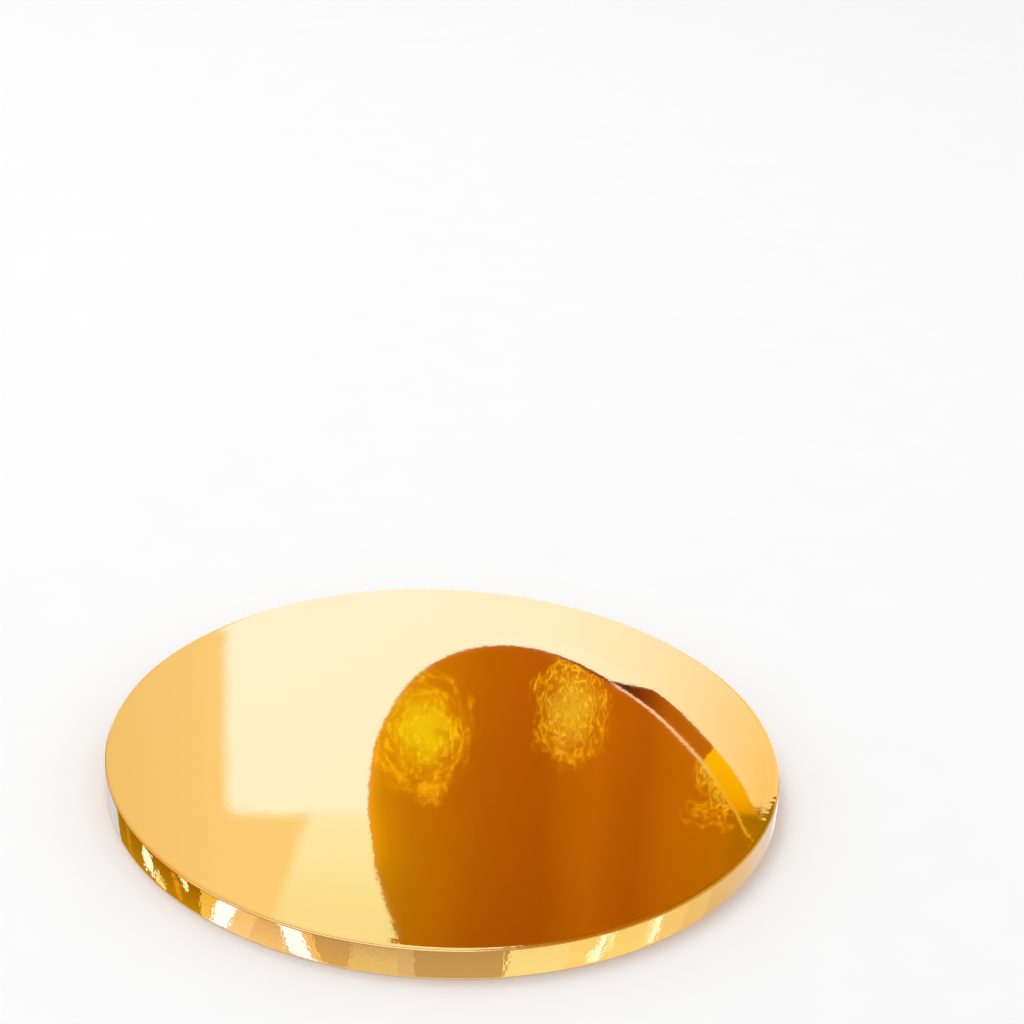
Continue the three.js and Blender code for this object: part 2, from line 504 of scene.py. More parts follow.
# The edge strip's stations round the board, and the rows of its section
STRIP_STATIONS = 1080
UPPER_ARC_STEPS = 12
LOWER_ARC_STEPS = 8
INNER_ARC_STEPS = 3
SIDE_ROWS = 14
UNDER_ROWS = 10
SAME_PLACE = 0.0000004

# Small distances in metres: from the base paper's rim out to the pleats' inner end, from there
# back in to the flat part, and from the face foil's rim out to the strip's last row that shows
# and in to the first that doesn't
PLEATS_FROM_BASE = 0.0004
PLEAT_FOOT = 0.0003
FACE_GAP = 0.00005
UNDER_FACE = 0.0004

# The strip's bulge at mid height, and its sway in waves round the board
CROWN = 0.00008
SWAY = 0.00012
SWAY_TURNS = (7, 11, 16, 23, 34)
SWAY_FALL = 1.5
SWAY_SEED = 23

# The pleats' unevenness, their steep side, and how they grow from the corner inward
PLEAT_SEED = 5
PLEAT_SHIFT = 0.12
PLEAT_WIDTHS = (0.0012, 0.0022)
PLEAT_SLOPES = (0.003, 0.006)
PLEAT_RISES = (0.75, 1.0)
PLEAT_STEEP = 0.00012
PLEAT_GROWS_OVER = 0.0055
PLEAT_GROWTH = 0.7


def arc_points(centre_r, centre_z, radius, start, end, steps):
    angles = np.radians(np.linspace(start, end, steps + 1))
    return [(centre_r + radius * math.cos(a), centre_z + radius * math.sin(a)) for a in angles]


def strip_profile():
    """The strip's section as a closed loop, with a word for each point that says what shapes it."""
    upper_r = EDGE_RADIUS - UPPER_CORNER_RADIUS
    lower_r = EDGE_RADIUS - LOWER_CORNER_RADIUS
    upper_z = STRIP_TOP - UPPER_CORNER_RADIUS
    lower_z = STRIP_BOTTOM + LOWER_CORNER_RADIUS
    over_end = EDGE_RADIUS - TURN_OVER_WIDTH
    under_end = EDGE_RADIUS - TURN_UNDER_WIDTH
    pleat_end = BASE_RADIUS + PLEATS_FROM_BASE
    inner_upper = arc_points(upper_r, upper_z, UPPER_CORNER_RADIUS - PAPER, 90, 0, INNER_ARC_STEPS)
    inner_lower = arc_points(lower_r, lower_z, LOWER_CORNER_RADIUS - PAPER, 0, -90, INNER_ARC_STEPS)
    lower_arc = arc_points(lower_r, lower_z, LOWER_CORNER_RADIUS, -90, 0, LOWER_ARC_STEPS)
    upper_arc = arc_points(upper_r, upper_z, UPPER_CORNER_RADIUS, 0, 90, UPPER_ARC_STEPS)
    loop = [(over_end, STRIP_TOP, "hidden"), (over_end, STRIP_TOP - PAPER, "hidden")]
    loop += [(r, z, "hidden") for r, z in inner_upper + inner_lower]
    loop += [(under_end, STRIP_BOTTOM + PAPER, "hidden"), (under_end, STRIP_BOTTOM, "hidden")]
    loop += [(pleat_end - PLEAT_FOOT, STRIP_BOTTOM, "hidden")]
    loop += [(r, STRIP_BOTTOM, "under") for r in np.linspace(pleat_end, lower_r, UNDER_ROWS + 1)[:-1]]
    loop += [(r, z, "lower") for r, z in lower_arc]
    loop += [(EDGE_RADIUS, z, "side") for z in np.linspace(lower_z, upper_z, SIDE_ROWS + 1)[1:-1]]
    loop += [(r, z, "upper") for r, z in upper_arc]
    loop += [(FACE_RADIUS + FACE_GAP, STRIP_TOP, "flat"), (FACE_RADIUS - UNDER_FACE, STRIP_TOP, "hidden")]
    return loop


def turned_from(azimuths, middle):
    """How far azimuths are turned from one, between minus and plus half a turn."""
    return (azimuths - middle + math.pi) % (2 * math.pi) - math.pi


def seam_rise(azimuths):
    """How far the strip stands out where its end laps over its start."""
    along = turned_from(azimuths, SEAM_AZIMUTH) * EDGE_RADIUS
    climb = smooth(np.clip((along + SEAM_LAP + SEAM_RAMP) / SEAM_RAMP, 0, 1))
    drop = np.clip(-along / SEAM_EDGE, 0, 1)
    return SEAM_RISE * climb * drop


def strip_sway(azimuths):
    """How far the strip stands out or in, in a few faint waves round the board."""
    draw = np.random.default_rng(SWAY_SEED)
    sway = np.zeros_like(azimuths)
    for turns in SWAY_TURNS:
        sway += np.sin(turns * azimuths + draw.uniform(0, 2 * math.pi)) / turns ** SWAY_FALL
    return SWAY * sway


def crown(z):
    """How far the strip's side bulges at a height."""
    lowest = STRIP_BOTTOM + LOWER_CORNER_RADIUS
    highest = STRIP_TOP - UPPER_CORNER_RADIUS
    from_middle = (z - (lowest + highest) / 2) / ((highest - lowest) / 2)
    return CROWN * (1 - from_middle ** 2)


def pleat_folds():
    """Each pleat's azimuth, width at its widest, length of slope and rise, a little irregular."""
    draw = np.random.default_rng(PLEAT_SEED)
    pitch = 2 * math.pi / PLEAT_COUNT
    folds = []
    for i in range(PLEAT_COUNT):
        azimuth = SEAM_AZIMUTH + pitch * (i + draw.uniform(-PLEAT_SHIFT, PLEAT_SHIFT))
        folds.append((azimuth, draw.uniform(*PLEAT_WIDTHS), draw.uniform(*PLEAT_SLOPES),
                      draw.uniform(*PLEAT_RISES)))
    return folds


def pleat_depth(azimuths, radius, folds):
    """How far the turned-under foil stands out at places: steep at each fold, then a long slope."""
    depth = np.zeros_like(azimuths)
    inward = np.clip((EDGE_RADIUS - LOWER_CORNER_RADIUS - radius) / PLEAT_GROWS_OVER, 0, 1)
    for fold, width, slope, rise in folds:
        along = turned_from(azimuths, fold) * radius
        up = np.clip(along / PLEAT_STEEP, 0, 1)
        down = smooth(np.clip(1 - (along - width * inward) / slope, 0, 1))
        depth = np.maximum(depth, up * down * rise * inward ** PLEAT_GROWTH)
    return depth * PLEAT_RISE


def strip_azimuths(folds):
    """Even stations, with a few more at each fold and at the seam."""
    azimuths = list(np.arange(STRIP_STATIONS) * 2 * math.pi / STRIP_STATIONS)
    for fold, _, _, _ in folds:
        azimuths += [fold, fold + PLEAT_STEEP / EDGE_RADIUS]
    for offset in (SEAM_CREASE, 0, -SEAM_EDGE, -SEAM_EDGE - SEAM_CREASE):
        azimuths.append(SEAM_AZIMUTH + offset / EDGE_RADIUS)
    azimuths = np.sort(np.mod(azimuths, 2 * math.pi))
    keep = np.diff(azimuths, prepend=azimuths[-1] - 2 * math.pi) > SAME_PLACE / EDGE_RADIUS
    return azimuths[keep]


def strip_row(azimuths, r, z, part, folds):
    """The strip's points all round the board for one point of its section."""
    radius = np.full_like(azimuths, r)
    height = np.full_like(azimuths, z)
    if part == "side":
        radius += crown(z)
    if part in ("side", "upper", "lower"):
        outward = (r - (EDGE_RADIUS - UPPER_CORNER_RADIUS)) / UPPER_CORNER_RADIUS
        radius += seam_rise(azimuths) + strip_sway(azimuths) * np.clip(outward, 0, 1)
    if part == "under":
        height -= pleat_depth(azimuths, radius, folds)
    return np.column_stack([radius * np.cos(azimuths), radius * np.sin(azimuths), height])


def loop_faces(stations, size):
    """Four-sided faces between sections of one size that follow each other in a closed ring."""
    faces = []
    for station in range(stations):
        here = station * size
        following = (station + 1) % stations * size
        for i in range(size):
            j = (i + 1) % size
            faces.append((here + i, following + i, following + j, here + j))
    return faces


def edge_strip(material):
    """The foil strip round the edge, with its seam, rounded corners and pleats underneath."""
    folds = pleat_folds()
    azimuths = strip_azimuths(folds)
    profile = strip_profile()
    rows = [strip_row(azimuths, r, z, part, folds) for r, z, part in profile]
    points = np.stack(rows, axis=1).reshape(-1, 3)
    faces = loop_faces(len(azimuths), len(profile))
    piece = new_object("edge_strip_foil", points.tolist(), faces, material)
    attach(piece, "root")
    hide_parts("edge_strip")


def dress_core():
    """The core keeps its solid and gets its own material."""
    core = frame["nodes"]["core_board"]
    core.data.materials.clear()
    core.data.materials.append(core_board_material())


def seen_in_foil_only(card):
    """Keeps a card of the studio out of all but the foil's reflections."""
    card.visible_camera = False
    card.visible_diffuse = False
    card.visible_shadow = False
    card.visible_transmission = False
    card.visible_volume_scatter = False


def glow_material(name, colour):
    material, nodes, output = new_material(name)
    nodes.emit(output, (*colour, 1.0))
    return material


def graded_material(name, axis, stops, drawn=False, glow=glow_seen_as):
    """A card's glow that changes along one axis, from (place in metres, colour) stops."""
    material, nodes, output = new_material(name)
    place = nodes.drawn_place() if drawn else nodes.place()
    nodes.emit(output, nodes.colours_along(nodes.axes(place)[axis], stops, glow))
    return material


# The wall behind the board, in metres across and up it: its parts' edges and how soft they are
BACK_DISTANCE = 1.2
BACK_HALF = 0.90
BACK_LOW = -0.30
BACK_HIGH = 1.60
WINDOW_LEFT = -0.243
WINDOW_BOTTOM = 0.848
PALE_LEFT = -0.160
PALE_SLANT = -0.26
BACK_SOFTNESS = 0.018
RIGHT_PART = 0.10
RIGHT_BOTTOM = 0.812
BACK_FOOT = 0.50

# Its parts' tones from left to right or upwards
AMBER_TONES = (
    (-0.36, (243, 193, 106)),
    (-0.30, (247, 197, 110)),
    (-0.24, (253, 204, 116)),
    (-0.16, (253, 207, 118)),
)
PALE_TONES = (
    (0.84, (255, 233, 168)),
    (0.90, (254, 229, 156)),
    (0.96, (251, 222, 142)),
    (1.00, (250, 218, 136)),
)
WINDOW_TONES = (
    (-0.20, CREAM),
    (-0.05, (255, 240, 192)),
    (0.08, (255, 236, 182)),
    (0.16, (255, 228, 168)),
    (0.21, (254, 219, 149)),
    (0.24, (255, 211, 134)),
    (0.265, (255, 206, 118)),
    (0.295, (250, 194, 94)),
    (0.34, (255, 206, 118)),
)
CORNER_TONE = (158, 104, 0)


def back_wall_material():
    """A warm studio wall: amber on the left, a bright window and a paler part under it."""
    material, nodes, output = new_material("back_wall")
    axes = nodes.axes(nodes.place())
    x, z = axes["X"], axes["Z"]
    amber = nodes.colours_along(x, AMBER_TONES)
    pale = nodes.colours_along(z, PALE_TONES)
    window = nodes.colours_along(x, WINDOW_TONES)
    above = nodes.math("SUBTRACT", z, WINDOW_BOTTOM)
    leaning = nodes.math("SUBTRACT", x, nodes.math("MULTIPLY", above, PALE_SLANT))
    colour = nodes.blend(nodes.soft_step(leaning, PALE_LEFT, BACK_SOFTNESS), amber, pale)
    beside = nodes.soft_step(x, WINDOW_LEFT, BACK_SOFTNESS)
    under = nodes.soft_step(z, WINDOW_BOTTOM, -BACK_SOFTNESS)
    right = nodes.soft_step(x, RIGHT_PART, BACK_SOFTNESS)
    in_window = nodes.math("MULTIPLY", beside, nodes.math("MAXIMUM", under, right))
    colour = nodes.blend(in_window, colour, window)
    corner = nodes.math("MULTIPLY", right, nodes.soft_step(z, RIGHT_BOTTOM, BACK_SOFTNESS / 2))
    colour = nodes.blend(corner, colour, glow_seen_as(CORNER_TONE))
    foot = nodes.soft_step(z, BACK_FOOT, -BACK_SOFTNESS)
    nodes.emit(output, nodes.blend(foot, colour, glow_seen_as(CREAM)))
    return material


def back_wall():
    """The upright wall that the face mirrors."""
    corners = [(-BACK_HALF, BACK_DISTANCE, BACK_LOW), (BACK_HALF, BACK_DISTANCE, BACK_LOW),
               (BACK_HALF, BACK_DISTANCE, BACK_HIGH), (-BACK_HALF, BACK_DISTANCE, BACK_HIGH)]
    seen_in_foil_only(new_object("back_wall", corners, [(0, 1, 2, 3)], back_wall_material()))


# The round panel is drawn as an oval on an upright sheet, and then moved along the foil's lines
# of sight to one that leans over the board: y = start + lean_x * x + lean_z * z.
PANEL_MIDDLE = (0.0772, 0.3876)
PANEL_HALF_X = 0.1121
PANEL_HALF_Z = 0.1955
PANEL_TILT = -0.4478
PANEL_SIDES = 180
PANEL_RINGS = 24
PANEL_DRAWN_AT = 0.42
PANEL_START = 0.20
PANEL_LEAN_X = -0.6897
PANEL_LEAN_Z = 0.7954
PANEL_LAYER_GAP = 0.0012

# The panel's rim and its pale line are the same oval behind it, a little to one side
RIM_MIDDLE = (0.0889, 0.3808)
LINE_MIDDLE = (0.0793, 0.3870)

# The panel's own tones from left to right, how far these bands wander, and how the tones deepen
# downwards in the foil: a factor at each of two heights
PANEL_BANDS = (
    (-0.056, (244, 158, 10)),
    (-0.045, (212, 132, 2)),
    (-0.030, (200, 118, 1)),
    (-0.012, (196, 108, 1)),
    (0.012, (184, 93, 1)),
    (0.034, (181, 87, 1)),
    (0.046, (178, 85, 1)),
    (0.062, (188, 95, 1)),
    (0.078, (195, 99, 1)),
    (0.094, (186, 91, 2)),
    (0.108, (182, 88, 2)),
    (0.126, (196, 102, 3)),
    (0.142, (194, 105, 2)),
    (0.156, (192, 108, 1)),
    (0.176, (168, 102, 0)),
)
BAND_DRIFT = 0.006
BAND_DRIFT_SCALE = 12.0
LIGHTER = (0.22, 1.08)
DEEPER = (0.41, 0.84)

# Each lamp's glow on the panel: its x and z, half its width and height, how far apart its ripples
# are, how many times they break on the way round, how much its middle fills up, and its outer and
# middle colours
PANEL_GLOWS = (
    (-0.0185, 0.3060, 0.0120, 0.0120, 0.0028, 1.4, 0.25, (246, 164, 12), (255, 184, 20)),
    (-0.0240, 0.2640, 0.0330, 0.0450, 0.0035, 2.2, 0.66, (252, 172, 8), (255, 210, 12)),
    (0.0610, 0.2440, 0.0250, 0.0430, 0.0036, 3.8, 0.50, (253, 174, 14), (255, 198, 40)),
    (0.1425, 0.2810, 0.0080, 0.0170, 0.0032, 1.3, 0.10, (253, 176, 16), (255, 206, 40)),
    (0.1520, 0.2960, 0.0080, 0.0160, 0.0032, 1.3, 0.10, (253, 176, 16), (255, 206, 40)),
    (0.1480, 0.3100, 0.0210, 0.0160, 0.0036, 1.4, 0.00, (222, 134, 4), (236, 152, 8)),
)

# How a glow is drawn: its uneven outline, the width of its ripples' crests, and, as shares from
# its outline to its middle, where ripples, filling and middle colour start and are full
SPOT_LOBES = 0.011
SPOT_UNEVEN = 0.12
SPOT_FULL = 0.15
RIPPLE_WOBBLE = 0.5
CREST_CORE = 0.02
CREST_END = 0.085
RIPPLES_FULL = 0.22
FILL_STARTS = 0.10
MIDDLE_TONE = (0.25, 0.85)


def rippled_spot(nodes, place, centre, half, pitch, breaks, fill):
    """An uneven round spot in broken bright ripples round its middle, where it is almost even."""
    offset = nodes.vector("SUBTRACT", {0: place, 1: (centre[0], 0, centre[1])})
    scaled = nodes.vector("MULTIPLY", {0: offset, 1: (1 / half[0], 0, 1 / half[1])})
    reach = nodes.vector("LENGTH", {0: scaled}, "Value")
    heading = nodes.vector("NORMALIZE", {0: scaled})
    heading = nodes.vector("SCALE", {0: heading, "Scale": breaks})
    outward = nodes.add("ShaderNodeCombineXYZ", {
        "Y": nodes.math("MULTIPLY", reach, half[1] / pitch)}).outputs["Vector"]
    track = nodes.vector("ADD", {0: heading, 1: outward})
    waves = nodes.noise(track, 1.0, detail=0.0, distortion=RIPPLE_WOBBLE)
    from_crest = nodes.math("ABSOLUTE", nodes.math("SUBTRACT", waves, NOISE_MIDDLE))
    crest = nodes.spread(from_crest, CREST_CORE, CREST_END, 1.0, 0.0)
    lobes = nodes.noise(place, 1 / SPOT_LOBES, detail=0.0)
    uneven = nodes.spread_noise(lobes, -SPOT_UNEVEN, SPOT_UNEVEN)
    body = nodes.spread(nodes.math("ADD", reach, uneven), 1.0, SPOT_FULL, 0.0, 1.0)
    ripples = nodes.math("MULTIPLY", crest, nodes.spread(body, 0.0, RIPPLES_FULL, 0.0, 1.0))
    between = nodes.spread(body, FILL_STARTS, 1.0, 0.0, fill)
    return body, nodes.math("MAXIMUM", ripples, between)


def panel_material():
    """A round amber panel: soft upright bands and the rippled glows of lamps in it."""
    material, nodes, output = new_material("amber_panel")
    place = nodes.drawn_place()
    axes = nodes.axes(place)
    wander = nodes.noise(place, BAND_DRIFT_SCALE, detail=1.0)
    drift = nodes.spread_noise(wander, -BAND_DRIFT, BAND_DRIFT)
    colour = nodes.colours_along(nodes.math("ADD", axes["X"], drift), PANEL_BANDS)
    depth = nodes.spread(axes["Z"], LIGHTER[0], DEEPER[0], LIGHTER[1], DEEPER[1])
    colour = nodes.vector("SCALE", {0: colour, "Scale": depth})
    for x, z, half_x, half_z, pitch, breaks, fill, outer, middle in PANEL_GLOWS:
        body, lit = rippled_spot(nodes, place, (x, z), (half_x, half_z), pitch, breaks, fill)
        to_middle = nodes.spread(body, *MIDDLE_TONE, 0.0, 1.0)
        tone = nodes.blend(to_middle, glow_seen_as(outer), glow_seen_as(middle))
        colour = nodes.blend(lit, colour, tone)
    nodes.emit(output, colour)
    return material


# Slanted borders on the panel's rim: where z + slant * x reaches the level
WEDGE_SLANT = -0.18
WEDGE_LEVEL = 0.2075
WEDGE_START = 0.072
KNEE_SLANT = 1.79
KNEE_LEVEL = 0.5253
BORDER_SOFTNESS = 0.0012

# The rim's tones: pale at its left end, brown and amber along its top, bright and at last olive
# below the knee. Then the pale line's tones, which are brown at its left end.
RIM_PALE = (
    (0.030, (255, 240, 194)),
    (0.060, (255, 238, 187)),
    (0.085, (255, 235, 180)),
    (0.110, (255, 230, 170)),
)
RIM_UPPER = (
    (0.080, (60, 14, 4)),
    (0.092, (84, 24, 4)),
    (0.104, (142, 58, 4)),
    (0.118, (182, 90, 4)),
    (0.145, (194, 101, 3)),
)
RIM_LOWER = (
    (0.2700, (255, 182, 2)),
    (0.2960, (246, 168, 3)),
    (0.3060, (234, 152, 4)),
    (0.3120, (170, 108, 0)),
)
LINE_TONES = (
    (0.020, (190, 100, 12)),
    (0.050, (160, 66, 10)),
    (0.081, (132, 40, 10)),
    (0.086, (250, 190, 140)),
    (0.105, (252, 200, 150)),
    (0.134, (252, 196, 116)),
    (0.150, (246, 178, 40)),
    (0.175, (226, 148, 14)),
)


def past_border(nodes, x, z, slant, level):
    """0 on one side of a slanted border and 1 on the other."""
    height = nodes.math("ADD", z, nodes.math("MULTIPLY", x, slant))
    return nodes.soft_step(height, level, BORDER_SOFTNESS)


def panel_rim_material():
    """The panel's rim: pale, then a dark wedge, then bright below a knee."""
    material, nodes, output = new_material("panel_rim")
    axes = nodes.axes(nodes.drawn_place())
    x, z = axes["X"], axes["Z"]
    dark = nodes.math("MULTIPLY", past_border(nodes, x, z, WEDGE_SLANT, WEDGE_LEVEL),
                      nodes.soft_step(x, WEDGE_START, BORDER_SOFTNESS))
    colour = nodes.blend(dark, nodes.colours_along(x, RIM_PALE), nodes.colours_along(x, RIM_UPPER))
    below_knee = past_border(nodes, x, z, KNEE_SLANT, KNEE_LEVEL)
    nodes.emit(output, nodes.blend(below_knee, colour, nodes.colours_along(z, RIM_LOWER)))
    return material


def camera_place():
    back = Vector((0, -math.cos(CAMERA_ELEVATION), math.sin(CAMERA_ELEVATION)))
    return CAMERA_AIM + back * CAMERA_DISTANCE


def on_leaning_sheet(x, z, layer):
    """Where a drawn place lands on the leaning sheet, along the foil's line of sight."""
    eye = camera_place()
    eye.z = 2 * FACE_TOP - eye.z
    ray = Vector((x, PANEL_DRAWN_AT, z)) - eye
    start = PANEL_START + layer * PANEL_LAYER_GAP
    short = start + PANEL_LEAN_X * eye.x + PANEL_LEAN_Z * eye.z - eye.y
    reach = short / (ray.y - PANEL_LEAN_X * ray.x - PANEL_LEAN_Z * ray.z)
    return tuple(eye + ray * reach)


def oval(middle, share):
    """Places round the panel's oval at a share of its size."""
    places = []
    for i in range(PANEL_SIDES):
        angle = 2 * math.pi * i / PANEL_SIDES
        x = PANEL_HALF_X * share * math.cos(angle)
        z = PANEL_HALF_Z * share * math.sin(angle)
        places.append((middle[0] + x * math.cos(PANEL_TILT) - z * math.sin(PANEL_TILT),
                       middle[1] + x * math.sin(PANEL_TILT) + z * math.cos(PANEL_TILT)))
    return places


def leaning_card(name, middle, layer, material):
    """An oval card on the leaning sheet. Its drawn place is kept for the material to read."""
    drawn = [middle]
    for ring in range(1, PANEL_RINGS + 1):
        drawn += oval(middle, ring / PANEL_RINGS)
    vertices = [on_leaning_sheet(x, z, layer) for x, z in drawn]
    faces = [(0, 1 + i, 1 + (i + 1) % PANEL_SIDES) for i in range(PANEL_SIDES)]
    for ring in range(1, PANEL_RINGS):
        inner = 1 + (ring - 1) * PANEL_SIDES
        outer = inner + PANEL_SIDES
        for i in range(PANEL_SIDES):
            j = (i + 1) % PANEL_SIDES
            faces.append((inner + i, outer + i, outer + j, inner + j))
    faces = [face for face in faces if max(vertices[corner][2] for corner in face) > FACE_TOP]
    card = new_object(name, vertices, faces, material)
    kept = card.data.attributes.new("drawn_place", "FLOAT_VECTOR", "POINT")
    for spot, (x, z) in zip(kept.data, drawn):
        spot.vector = (x, 0.0, z)
    seen_in_foil_only(card)


def round_panel():
    """The amber panel that leans over the board, with its rim and a pale line behind it."""
    leaning_card("panel_rim", RIM_MIDDLE, 2, panel_rim_material())
    leaning_card("panel_line", LINE_MIDDLE, 1, graded_material("panel_line", "X", LINE_TONES, drawn=True))
    leaning_card("amber_panel", PANEL_MIDDLE, 0, panel_material())


# Cards below the floor's level, which the upright edge mirrors. The step is in degrees.
SURROUND_RADIUS = 1.6
SPOT_RADIUS = 1.58
SURROUND_LOW = -1.70
SURROUND_HIGH = -0.62
EDGE_TOP_SEES = -0.90
EDGE_BOTTOM_SEES = -1.18
CARD_STEP = 2
CARD_LEAST_PARTS = 2

# Where each part starts, in degrees for the top and the bottom of the edge, and its two colours
SURROUND_ZONES = (
    (98.0, 98.0, (214, 174, 106), (216, 180, 114)),
    (124.0, 124.0, (212, 188, 124), (214, 192, 130)),
    (137.0, 135.0, (148, 90, 2), (196, 128, 2)),
    (191.5, 187.0, (236, 176, 56), (248, 196, 76)),
    (198.5, 191.5, (255, 255, 248), (255, 255, 248)),
    (206.5, 198.5, (246, 192, 112), (253, 204, 130)),
    (214.0, 208.0, (222, 166, 92), (248, 194, 118)),
    (221.0, 222.5, (255, 255, 248), (255, 255, 248)),
    (228.6, 231.0, (240, 180, 92), (250, 192, 104)),
    (232.0, 234.0, (190, 146, 86), (216, 162, 84)),
    (246.0, 244.0, (204, 160, 100), (232, 190, 108)),
    (260.0, 260.0, (208, 164, 102), (222, 176, 114)),
    (265.0, 265.0, (188, 144, 80), (200, 154, 86)),
    (294.5, 294.5, (248, 212, 128), (254, 220, 136)),
    (315.0, 315.0, (252, 208, 116), (253, 212, 118)),
    (343.9, 343.9, (246, 200, 110), (248, 202, 112)),
    (360.0, 360.0, (242, 194, 112), (238, 188, 108)),
    (372.0, 372.0, (234, 190, 112), (224, 178, 104)),
    (385.0, 385.0, (236, 190, 118), (224, 178, 110)),
    (400.0, 400.0, (235, 196, 127), (218, 178, 113)),
    (410.0, 410.0, (230, 189, 117), (220, 179, 108)),
    (421.0, 421.0, (233, 192, 112), (229, 190, 110)),
    (428.0, 428.0, (255, 222, 139), (255, 222, 139)),
)
ZONES_END = 458.0

# Lit spots in front of them: azimuth, height, half the turn, half the height, colour
SURROUND_SPOTS = (
    (146.5, -1.04, 1.1, 0.13, (200, 134, 20)),
    (161.0, -1.02, 3.0, 0.11, (255, 250, 180)),
    (166.5, -1.12, 3.0, 0.08, (250, 214, 110)),
    (177.5, -1.05, 1.5, 0.10, (226, 150, 14)),
    (182.5, -0.96, 1.8, 0.07, (255, 246, 170)),
    (190.0, -1.16, 2.4, 0.06, (255, 226, 130)),
    (326.2, -1.05, 1.7, 0.24, (255, 255, 214)),
    (323.4, -1.16, 1.6, 0.08, (255, 250, 180)),
    (329.6, -1.00, 1.0, 0.11, (255, 240, 160)),
    (347.4, -1.05, 1.6, 0.21, (255, 254, 196)),
    (344.8, -1.05, 1.3, 0.18, (254, 226, 146)),
)
LIT_SPOT_SIDES = 28
LIT_SPOT_WAVES = 3
LIT_SPOT_UNEVEN = 0.12


def curved_card(name, starts, ends, low, high, material):
    """A curved card round the board. Each side has an azimuth at the card's bottom and its top."""
    steps = max(CARD_LEAST_PARTS, round((ends[1] - starts[1]) / CARD_STEP))
    vertices = []
    for i in range(steps + 1):
        share = i / steps
        for z, level in ((low, 0), (high, 1)):
            azimuth = math.radians(starts[level] + (ends[level] - starts[level]) * share)
            vertices.append((SURROUND_RADIUS * math.cos(azimuth), SURROUND_RADIUS * math.sin(azimuth), z))
    faces = [(2 * i, 2 * i + 2, 2 * i + 3, 2 * i + 1) for i in range(steps)]
    seen_in_foil_only(new_object(name, vertices, faces, material))


def slanted(top, bottom):
    """A side's azimuths at the card's bottom and top, from those that the edge's two rims see."""
    turn = (top - bottom) / (EDGE_TOP_SEES - EDGE_BOTTOM_SEES)
    return (bottom + turn * (SURROUND_LOW - EDGE_BOTTOM_SEES),
            top + turn * (SURROUND_HIGH - EDGE_TOP_SEES))


def spot_card(name, azimuth, height, half_turn, half_height, material):
    """A small uneven oval card in front of the others."""
    draw = np.random.default_rng(round(azimuth * 10))
    phases = draw.uniform(0, 2 * math.pi, LIT_SPOT_WAVES)
    vertices = []
    for i in range(LIT_SPOT_SIDES):
        angle = 2 * math.pi * i / LIT_SPOT_SIDES
        waves = sum(math.sin((k + 2) * angle + phases[k]) for k in range(LIT_SPOT_WAVES))
        uneven = 1 + LIT_SPOT_UNEVEN * waves
        turn = math.radians(azimuth + half_turn * uneven * math.cos(angle))
        vertices.append((SPOT_RADIUS * math.cos(turn), SPOT_RADIUS * math.sin(turn),
                         height + half_height * uneven * math.sin(angle)))
    seen_in_foil_only(new_object(name, vertices, [tuple(range(LIT_SPOT_SIDES))], material))


def surround_cards():
    """The parts side by side, and the lit spots before them."""
    sides = [slanted(top, bottom) for top, bottom, _, _ in SURROUND_ZONES]
    sides.append((ZONES_END, ZONES_END))
    for index, (_, _, top_colour, bottom_colour) in enumerate(SURROUND_ZONES):
        name = f"surround_{index}"
        material = graded_material(name, "Z", (
            (EDGE_BOTTOM_SEES, bottom_colour), (EDGE_TOP_SEES, top_colour)))
        curved_card(name, sides[index], sides[index + 1], SURROUND_LOW, SURROUND_HIGH, material)
    for index, (azimuth, height, half_turn, half_height, colour) in enumerate(SURROUND_SPOTS):
        name = f"spot_{index}"
        spot_card(name, azimuth, height, half_turn, half_height, glow_material(name, glow_seen_as(colour)))


# Upright walls round the board, side by side, which its rim and the views from other sides
# mirror. Each goes through its own colours at these heights, in soft steps, with one dark band
# after its first two. A low view takes them on with little of the gold's own tint, so they
# aren't made up for it.
WALLS_START = 98
WALLS_END = 412
WALL_TOP = 1.9
WALL_HEIGHTS = (-0.62, -0.34, -0.28, 0.06, 0.14, 0.45, 0.72, 1.00, 1.90)
BELOW_BAND = 2
NIGHT = (104, 60, 10)
DEEP = (204, 144, 60)
AMBER = (226, 176, 98)
GOLDEN = (245, 210, 140)
PALE = (254, 240, 202)
BRIGHT = (255, 250, 230)
WALLS = (
    (GOLDEN, AMBER, GOLDEN, PALE, GOLDEN, PALE, PALE),
    (AMBER, DEEP, AMBER, GOLDEN, PALE, GOLDEN, PALE),
    (DEEP, AMBER, PALE, BRIGHT, AMBER, GOLDEN, GOLDEN),
    (AMBER, DEEP, AMBER, GOLDEN, GOLDEN, PALE, PALE),
    (PALE, GOLDEN, GOLDEN, PALE, PALE, AMBER, GOLDEN),
    (GOLDEN, AMBER, DEEP, AMBER, GOLDEN, PALE, PALE),
    (AMBER, GOLDEN, PALE, GOLDEN, AMBER, GOLDEN, PALE),
    (GOLDEN, PALE, AMBER, PALE, BRIGHT, GOLDEN, GOLDEN),
    (PALE, GOLDEN, GOLDEN, AMBER, GOLDEN, PALE, PALE),
    (PALE, AMBER, AMBER, BRIGHT, GOLDEN, AMBER, GOLDEN),
    (GOLDEN, DEEP, DEEP, AMBER, PALE, GOLDEN, PALE),
    (AMBER, GOLDEN, AMBER, GOLDEN, GOLDEN, PALE, GOLDEN),
    (PALE, AMBER, GOLDEN, PALE, AMBER, GOLDEN, PALE),
    (GOLDEN, PALE, AMBER, GOLDEN, BRIGHT, PALE, GOLDEN),
)


